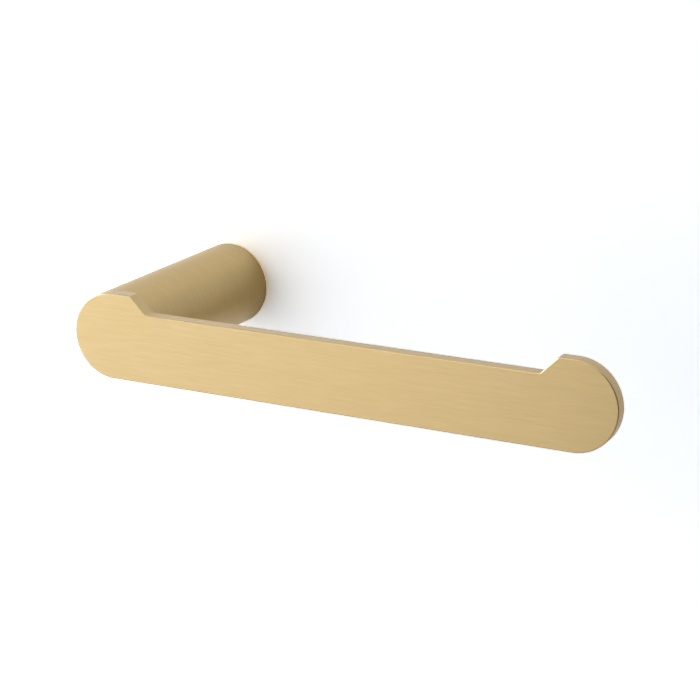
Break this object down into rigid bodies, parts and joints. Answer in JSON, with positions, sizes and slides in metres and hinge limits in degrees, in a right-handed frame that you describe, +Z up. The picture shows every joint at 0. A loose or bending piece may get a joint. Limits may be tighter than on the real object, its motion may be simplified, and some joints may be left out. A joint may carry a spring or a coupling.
{
  "type": "toilet paper holder",
  "caption": "Wall-mounted toilet paper holder: a flat bar with round ends and a long shallow notch, carried in front of the wall on one plain round post that hides its fixing.",
  "frame": {"origin": "centre of the post's end on the wall plane, which is the middle of the wall fixing", "axes": "+X along the arm towards its free end, +Y into the wall along the post's axis, +Z up"},
  "size_m": [0.164, 0.0948, 0.025],
  "materials": {
    "satin_brass": "satin brushed, straight grain on the bar and round grain on the post, clear lacquer",
    "bracket_brass": "as turned",
    "stainless_steel": "plain stainless",
    "hardened_steel": "ground",
    "plug_nylon": "moulded nylon"
  },
  "bodies": {
    "wall_fixture": {"wall_bracket": "bracket_brass", "wall_screws": "stainless_steel", "wall_plugs": "plug_nylon"},
    "holder": {"post": "satin_brass", "arm_bar": "satin_brass", "arm_screw": "stainless_steel", "lock_washer": "stainless_steel", "locating_pin": "hardened_steel"},
    "grub": {"set_screw": "stainless_steel"}
  },
  "joints": [
    {"name": "holder_pull_off", "type": "slide", "parent": "wall_fixture", "child": "holder", "axis": [0, -1, 0], "range_m": [0, 0.025]},
    {"name": "set_screw_travel", "type": "slide", "parent": "holder", "child": "grub", "axis": [0, 0, -1], "range_m": [0, 0.002]}
  ]
}
